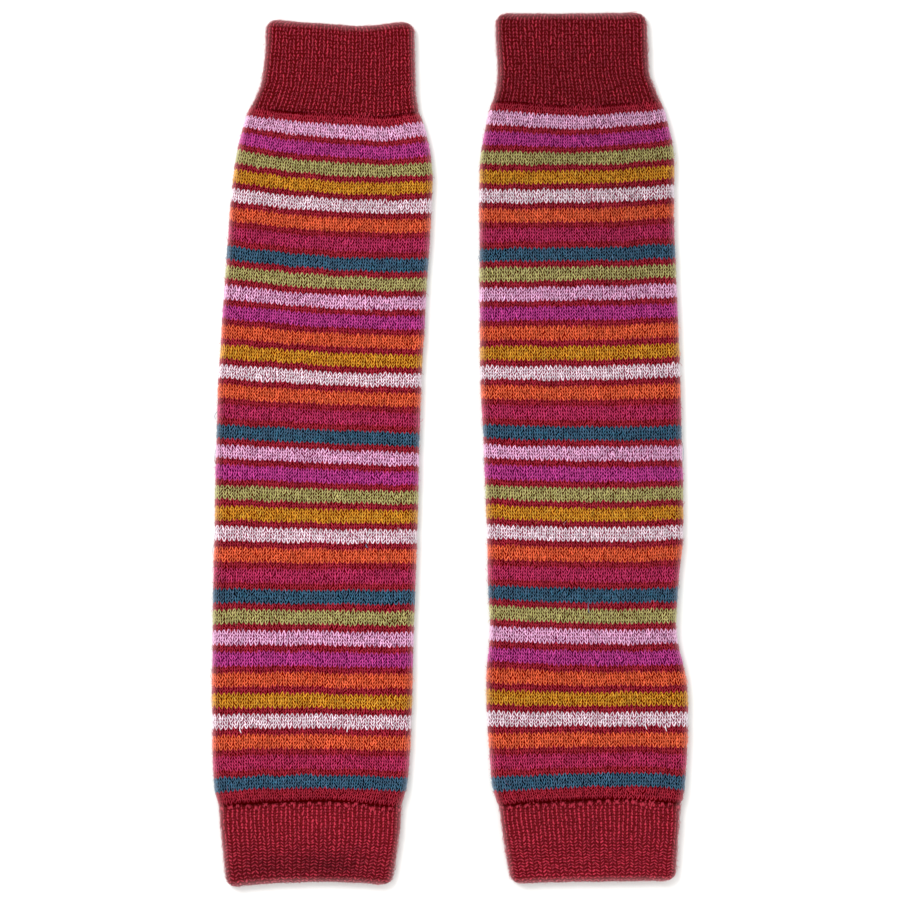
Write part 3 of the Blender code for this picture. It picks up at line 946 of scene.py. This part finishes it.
def make_stitches(tube, stitch, courses, yarns, label, seed):
    """Make the knit stitches of some courses: finer on the front, plainer on the back underneath."""
    lines, wale = stitch_lines(tube, stitch, courses, seed)
    height = bpy.context.scene.leg_warmer_knit.stitch_height / MM / PLAIN.lift
    lines = lines._replace(lift=lines.lift * height)
    level = -GROUND_DEPTH - RIM_SINK
    front = wale < tube.round_count / 2
    pieces = []
    for chosen, form, panel in ((front, LEG, "front"), (~front, BACK, "back")):
        part = Lines(*(values[chosen] for values in lines))
        pieces.append(domes(tube, f"{label}_{panel}", part, level, form, yarns, lit=stitch.lit))
    return pieces


def make_purls(tube, yarns, seed):
    """Make the purl bumps that lie across the ditches between the ribs."""
    rng = np.random.default_rng(seed)
    bump = DITCHES[tube.part]
    rib, course = grid_of(np.arange(RIBS), np.arange(tube.first + 1, tube.last))
    size = len(rib)
    middle = course + 0.5 + rng.normal(0.0, PURL_STRAY, size)
    slant = rng.normal(0.0, PURL_SLANT, size)
    lines = Lines(
        np.column_stack(((rib - bump.reach) / RIBS, middle)),
        np.column_stack(((rib + bump.reach) / RIBS, middle + slant)),
        np.full(size, bump.half_width),
        bump.lift * rng.uniform(*PURL_LIFTS, size),
        np.full(size, bump.tone),
        np.zeros(size, int),
    )
    return domes(tube, "purl_bumps", lines, -GROUND_DEPTH, BACK, yarns, lit=PURL_LIT)


def make_seam_loops(tube, yarns, seed):
    """Make the loops that link body and bottom cuff, one hung over each rib's first stitches."""
    rng = np.random.default_rng(seed)
    unevenness = bpy.context.scene.leg_warmer_knit.unevenness
    size = 2 * RIBS
    hand = np.tile((-1.0, 1.0), RIBS)
    middle = np.arange(RIBS) + 0.5 + rng.normal(0.0, LOOP_STRAYS.place * unevenness, RIBS)
    high = np.repeat(rng.normal(0.0, LOOP_STRAYS.top * unevenness, RIBS), 2)
    top = tube.first + LOOP.top + high
    bottom = top + LOOP.hang + rng.normal(0.0, LOOP_STRAYS.hang * unevenness, size)
    spread = hand * (LOOP.spread + rng.normal(0.0, LOOP_STRAYS.spread * unevenness, size))
    middle = np.repeat(middle, 2)
    lines = Lines(
        np.column_stack(((middle + spread) / RIBS, bottom)),
        np.column_stack(((middle + LOOP.closed * hand) / RIBS, top)),
        rng.uniform(*LOOP.half_widths, size),
        rng.uniform(*LOOP.lifts, size),
        rng.uniform(*LOOP.tones, size),
        np.zeros(size, int),
    )
    level = -GROUND_DEPTH - RIM_SINK
    return domes(
        tube, "seam_loops", lines, level, BEAD, yarns, lit=LOOP.lit, creased=LOOP.creased
    )


def strand(rises):
    """Give the form of a three-sided strand that rises by these shares along its length."""
    corners = []
    for step, rise in enumerate(rises[:-1]):
        share = step / (len(rises) - 1)
        corners += [(share, -1.0, rise), (share, 1.0, rise), (share, 0.0, rise + STRAND_RIDGE)]
    corners.append((1.0, 0.0, rises[-1]))
    tip = len(corners) - 1
    faces = [(0, 2, 1)]
    for ring in range(0, tip, 3):
        for near, beside in ((0, 2), (2, 1), (1, 0)):
            a, b = ring + near, ring + beside
            if ring + 3 == tip:
                faces.append((a, tip, b))
            else:
                faces += [(a, a + 3, b + 3), (a, b + 3, b)]
    return Form(corners, faces)


def make_loose_ends(tube, yarns):
    """Make the yarn ends and long stray fibres that show, each where it lies."""
    names = list(YARNS)
    columns = Loose(*map(np.array, zip(*LOOSE[tube.name])))
    # The shorter way round from each start to its end
    round_by = (columns.to_place - columns.place + 0.5) % 1.0 - 0.5
    lines = Lines(
        np.column_stack((columns.place, columns.course)),
        np.column_stack((columns.place + round_by, columns.to_course)),
        columns.half_width,
        columns.rise,
        np.full(len(round_by), LOOSE_TONE),
        np.array([names.index(yarn) for yarn in columns.yarn]),
    )
    form = strand(LOOSE_RISES)
    return domes(tube, "loose_ends", lines, -LOOSE_DEPTH, form, yarns, bow=columns.bow)


def make_fuzz(tube, yarns, count, edge_count, seed):
    """Make the fine fibres that stand off the yarn: over the front, and thicker along the outline."""
    rng = np.random.default_rng(seed)
    total = count + edge_count
    place = rng.uniform(*FUZZ.places, total)
    at_fold = rng.choice((0.0, 0.5), edge_count)
    place[count:] = at_fold + rng.normal(0.0, FUZZ.fold_spread, edge_count)
    course = rng.uniform(tube.first, tube.last, total)
    if tube.free_end:
        end = tube.first - 1.0 if tube.free_end == "top" else tube.last + 1.0
        on_end = slice(count, count + edge_count // 2)
        place[on_end] = rng.uniform(*FUZZ.end_places, edge_count // 2)
        course[on_end] = end + rng.normal(0.0, FUZZ.end_spread, edge_count // 2)
    turn = rng.uniform(0.0, 2 * math.pi, total)
    length = rng.gamma(*FUZZ.lengths, total) + FUZZ.least_length
    round_mm = 2 * tube.table[len(tube.table) // 2].width
    reach = np.column_stack(
        (length * np.cos(turn) / round_mm, length * np.sin(turn) / tube.pitch)
    )
    reach[count:, 0] *= FUZZ.round_share
    starts = np.column_stack((place, course))
    lift = rng.gamma(*FUZZ.lifts, total) + FUZZ.least_lift
    lift[count:] = rng.gamma(*FUZZ.outline_lifts, edge_count) + FUZZ.least_outline_lift
    lines = Lines(
        starts,
        starts + reach,
        rng.uniform(*FUZZ.half_widths, total),
        lift,
        np.concatenate(
            (rng.uniform(*FUZZ.tones, count), rng.uniform(*FUZZ.outline_tones, edge_count))
        ),
        yarn_at(np.floor(np.clip(course, tube.first, tube.last - 1))),
    )
    form = strand(FUZZ_RISES)
    bow = rng.normal(0.0, FUZZ.bow, total)
    return domes(tube, "fuzz", lines, -FUZZ.depth, form, yarns, bow=bow)


def add_node(tree, kind, inputs, output=None, **settings):
    """Add a node with its settings, set or link its inputs, and give one of its outputs.

    inputs are a tuple in the node's own order, or named or numbered in a dict.
    """
    node = tree.nodes.new(kind)
    for key, value in settings.items():
        setattr(node, key, value)
    for key, value in inputs.items() if isinstance(inputs, dict) else enumerate(inputs):
        if isinstance(value, bpy.types.NodeSocket):
            tree.links.new(value, node.inputs[key])
        else:
            node.inputs[key].default_value = value
    return None if output is None else node.outputs[output]


def new_material(name):
    """Give a new material, its node tree and its Object coordinates, the tree's only node."""
    material = bpy.data.materials.get(name) or bpy.data.materials.new(name)
    material.use_nodes = True
    tree = material.node_tree
    tree.nodes.clear()
    return material, tree, add_node(tree, "ShaderNodeTexCoord", (), "Object")


def yarn_material(name, yarn, top):
    """Give spun wool-blend yarn, matte and fuzzy: painted light on stitch tops, painted shade in their
    gaps.
    """
    material, tree, place = new_material(name)
    crest, tone, napped = (
        add_node(tree, "ShaderNodeAttribute", (), "Fac", attribute_name=key)
        for key in ("crest", "tone", "nap")
    )
    tufts, fleck_noise = (
        add_node(
            tree,
            "ShaderNodeTexNoise",
            {"Vector": place, "Scale": scale, "Detail": detail, "Roughness": roughness},
            "Fac",
        )
        for scale, detail, roughness in (TUFTS, FLECKS)
    )
    flecked = (fleck_noise, *FLECK_RANGE, 0.0, yarn.flecked)
    fleck_share = add_node(tree, "ShaderNodeMapRange", flecked, "Result")
    colours = {0: fleck_share, 6: (*top, 1.0), 7: (*linear(yarn.fleck), 1.0)}
    spun = add_node(tree, "ShaderNodeMix", colours, 2, data_type="RGBA")
    # Painted light and shade: from the hollows' shaded colour up to the lit top colour
    lit = add_node(
        tree, "ShaderNodeMath", (tufts, TUFT_LIGHT, crest), "Value", operation="MULTIPLY_ADD"
    )
    lit_share = add_node(tree, "ShaderNodeMapRange", (lit, *LIT_RANGE), "Result")
    colours = {0: lit_share, 6: (*linear(yarn.gap), 1.0), 7: spun}
    shaded = add_node(tree, "ShaderNodeMix", colours, 2, data_type="RGBA")
    # The tone brightens or darkens the colour: each stitch's own tone, with painted light and shade in
    # it
    brightness = add_node(
        tree, "ShaderNodeMapRange", (tone, 0.0, 1.0, *TONE_RANGE), "Result", clamp=False
    )
    toned = add_node(
        tree, "ShaderNodeHueSaturation", {"Value": brightness, "Color": shaded}, "Color"
    )
    # Painted sheen: the colour is painted paler where the fine fibres are seen aslant, along the
    # outline
    paleness = add_node(tree, "ShaderNodeMapRange", (lit, *LIT_RANGE, *NAP_PALENESS), "Result")
    painted_sheen_share = add_node(
        tree, "ShaderNodeMath", (napped, paleness), "Value", operation="MULTIPLY"
    )
    colours = {0: painted_sheen_share, 6: toned, 7: paler(top, NAP_WHITE)}
    pale = add_node(tree, "ShaderNodeMix", colours, 2, data_type="RGBA")
    # Only the tops catch a little gloss
    gloss = add_node(tree, "ShaderNodeMapRange", (lit, *GLOSS_RANGE, 0.0, MOST_GLOSS), "Result")
    sheen = add_node(
        tree, "ShaderNodeMath", (napped, NAP_SHEEN, gloss), "Value", operation="MULTIPLY_ADD"
    )
    bump = add_node(
        tree,
        "ShaderNodeBump",
        {"Strength": 0.45, "Distance": TUFT_HEIGHT * MM, "Height": tufts},
        "Normal",
    )
    shader = add_node(
        tree,
        "ShaderNodeBsdfPrincipled",
        {
            "Base Color": pale,
            "Roughness": 0.9,
            "Specular IOR Level": gloss,
            "Sheen Weight": sheen,
            "Sheen Roughness": 0.35,
            "Sheen Tint": paler(top, SHEEN_WHITE),
            "Normal": bump,
        },
        "BSDF",
    )
    add_node(tree, "ShaderNodeOutputMaterial", {"Surface": shader})
    return material


def yarn_materials():
    """Give the yarns' materials in YARNS' order, with the colours set in the sidebar."""
    colours = bpy.context.scene.leg_warmer_yarns
    return [
        yarn_material(name + "_wool_blend_yarn", yarn, tuple(getattr(colours, name)))
        for name, yarn in YARNS.items()
    ]


def tube_of(side, part):
    """Give one tube's facts."""
    name = f"{side}_{part}"
    table = SECTIONS[name]
    first, last = table[0], table[-1]
    round_count, columns = (WALES, BODY_COLUMNS) if part == "body" else (RIBS, RIB_COLUMNS)
    return Tube(
        name=name,
        side=side,
        part=part,
        table=table,
        free_end={"top_cuff": "top", "bottom_cuff": "bottom"}.get(part),
        round_count=round_count,
        columns=round_count * columns,
        first=first.course,
        last=last.course,
        pitch=(first.y - last.y) / (last.course - first.course),
        seed=sum(map(ord, name)),
    )


def declare(ground, stitches, tube):
    """Attach a tube's pieces to the root, and hide the node of model.glb that they stand for."""
    for piece in (ground, *stitches):
        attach(piece, "root")
        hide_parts(tube.name)


def make_cuffs(part, stitch):
    """Make both leg warmers' cuffs of one kind."""
    yarns = yarn_materials()
    for side in ("left", "right"):
        tube = tube_of(side, part)
        # Two courses more go over the free edge
        before = 2 if tube.free_end == "top" else 0
        after = 2 if tube.free_end == "bottom" else 0
        courses = np.arange(tube.first - before, tube.last + after)
        stitches = make_stitches(tube, stitch, courses, yarns, "rib_stitches", tube.seed)
        stitches.append(make_purls(tube, yarns, tube.seed + 7))
        stitches.append(make_fuzz(tube, yarns, *CUFF_FUZZ, tube.seed + 8))
        if part == "bottom_cuff":
            stitches.append(make_seam_loops(tube, yarns, tube.seed + 9))
        if tube.name in LOOSE:
            stitches.append(make_loose_ends(tube, yarns))
        declare(make_ground(tube, yarns), stitches, tube)


class LEGWARMERS_OT_bodies(bpy.types.Operator):
    """Knit both striped bodies: 84 stitches round and 209 courses"""

    bl_idname = "leg_warmers.bodies"
    bl_label = "Striped bodies"

    def execute(self, context):
        yarns = yarn_materials()
        for side in ("left", "right"):
            tube = tube_of(side, "body")
            courses = np.arange(tube.first, tube.last)
            crimson = yarn_at(courses) == 0
            stitches = [
                *make_stitches(tube, PLAIN, courses[crimson], yarns, "crimson_stitches", tube.seed),
                *make_stitches(tube, PLAIN, courses[~crimson], yarns, "stripe_stitches", tube.seed + 1),
                make_fuzz(tube, yarns, *BODY_FUZZ, tube.seed + 8),
                make_loose_ends(tube, yarns),
            ]
            declare(make_ground(tube, yarns), stitches, tube)
        return {"FINISHED"}


class LEGWARMERS_OT_top_cuffs(bpy.types.Operator):
    """Knit both ribbed top cuffs: 42 ribs round and 26 courses"""

    bl_idname = "leg_warmers.top_cuffs"
    bl_label = "Top cuffs"

    def execute(self, context):
        make_cuffs("top_cuff", TOP_RIB)
        return {"FINISHED"}


class LEGWARMERS_OT_bottom_cuffs(bpy.types.Operator):
    """Knit both ribbed bottom cuffs: 42 ribs round and 26 courses, a little wider"""

    bl_idname = "leg_warmers.bottom_cuffs"
    bl_label = "Bottom cuffs"

    def execute(self, context):
        make_cuffs("bottom_cuff", BOTTOM_RIB)
        return {"FINISHED"}


class LEGWARMERS_OT_stage(bpy.types.Operator):
    """Lay the pale floor, hang the soft light and set the camera straight above"""

    bl_idname = "leg_warmers.stage"
    bl_label = "Stage"

    def execute(self, context):
        scene = context.scene
        stage = scene.leg_warmer_stage
        bpy.ops.object.select_all(action="DESELECT")

        bpy.ops.mesh.primitive_plane_add(size=FLOOR_SIZE, location=(0.0, 0.0, -FLOOR_DROP))
        floor = context.object
        floor.name = "pale_floor"
        bpy.ops.object.transform_apply(location=True, rotation=False, scale=False)
        floor.data.materials.append(floor_material(stage.floor_colour))

        bpy.ops.object.light_add(type="AREA", location=KEY_PLACE)
        key = context.object
        key.name = "key_softbox"
        key.data.shape = "DISK"
        key.data.size = KEY_SIZE
        key.data.energy = stage.key_power
        key.rotation_euler = tuple(math.radians(angle) for angle in KEY_TURN)

        world = bpy.data.worlds.new("white_room")
        scene.world = world
        world.use_nodes = True
        sky = world.node_tree.nodes["Background"]
        sky.inputs["Color"].default_value = (1.0, 1.0, 1.0, 1.0)
        sky.inputs["Strength"].default_value = stage.sky

        bpy.ops.object.camera_add(location=(0.0, 0.0, stage.camera_height))
        camera = context.object
        camera.name = "overhead_camera"
        camera.data.sensor_width = SENSOR_WIDTH
        camera.data.lens = SENSOR_WIDTH * stage.camera_height / stage.seen_width
        scene.camera = camera
        scene.view_settings.view_transform = "Standard"
        return {"FINISHED"}


def floor_material(colour):
    """Give matte white photographer's card: flat and even, with the faintest mottle."""
    material, tree, place = new_material("matte_white_card")
    noise = {"Vector": place, "Scale": MOTTLES_PER_METRE, "Detail": 2.0}
    mottle = add_node(tree, "ShaderNodeTexNoise", noise, "Fac")
    value = add_node(tree, "ShaderNodeMapRange", (mottle, 0.0, 1.0, *MOTTLE_RANGE), "Result")
    toned = add_node(
        tree, "ShaderNodeHueSaturation", {"Value": value, "Color": (*colour, 1.0)}, "Color"
    )
    finish = {"Base Color": toned, "Roughness": 0.95, "Specular IOR Level": 0.2}
    shader = add_node(tree, "ShaderNodeBsdfPrincipled", finish, "BSDF")
    add_node(tree, "ShaderNodeOutputMaterial", {"Surface": shader})
    return material


class LEGWARMERS_PT_panel(bpy.types.Panel):
    """The leg warmers' settings and steps"""

    bl_idname = "LEGWARMERS_PT_panel"
    bl_label = "Leg Warmers"
    bl_space_type = "VIEW_3D"
    bl_region_type = "UI"
    bl_category = "Leg Warmers"

    def draw(self, context):
        for title, key, _ in GROUPS:
            group = getattr(context.scene, key)
            box = self.layout.box()
            box.label(text=title)
            for setting in group.bl_rna.properties.keys():
                if setting not in ("rna_type", "name"):
                    box.prop(group, setting)
        for step in STEPS:
            self.layout.operator(step.bl_idname)


# The settings' titles in the panel, their names on the scene, and their classes
GROUPS = (
    ("Knitting", "leg_warmer_knit", LegWarmerKnit),
    ("Yarns", "leg_warmer_yarns", LegWarmerYarns),
    ("Stage", "leg_warmer_stage", LegWarmerStage),
)
STEPS = (
    LEGWARMERS_OT_bodies,
    LEGWARMERS_OT_top_cuffs,
    LEGWARMERS_OT_bottom_cuffs,
    LEGWARMERS_OT_stage,
)
CLASSES = (LegWarmerKnit, LegWarmerYarns, LegWarmerStage, *STEPS, LEGWARMERS_PT_panel)


def register():
    """Add the settings, the operators and the panel."""
    for each in CLASSES:
        bpy.utils.register_class(each)
    for _, key, group in GROUPS:
        setattr(bpy.types.Scene, key, bpy.props.PointerProperty(type=group))


def unregister():
    """Take them out again."""
    for _, key, _ in GROUPS:
        delattr(bpy.types.Scene, key)
    for each in reversed(CLASSES):
        bpy.utils.unregister_class(each)


def main():
    """Build the pair and its stage."""
    register()
    bpy.ops.leg_warmers.bodies()
    bpy.ops.leg_warmers.top_cuffs()
    bpy.ops.leg_warmers.bottom_cuffs()
    bpy.ops.leg_warmers.stage()


if __name__ == "__main__":
    main()
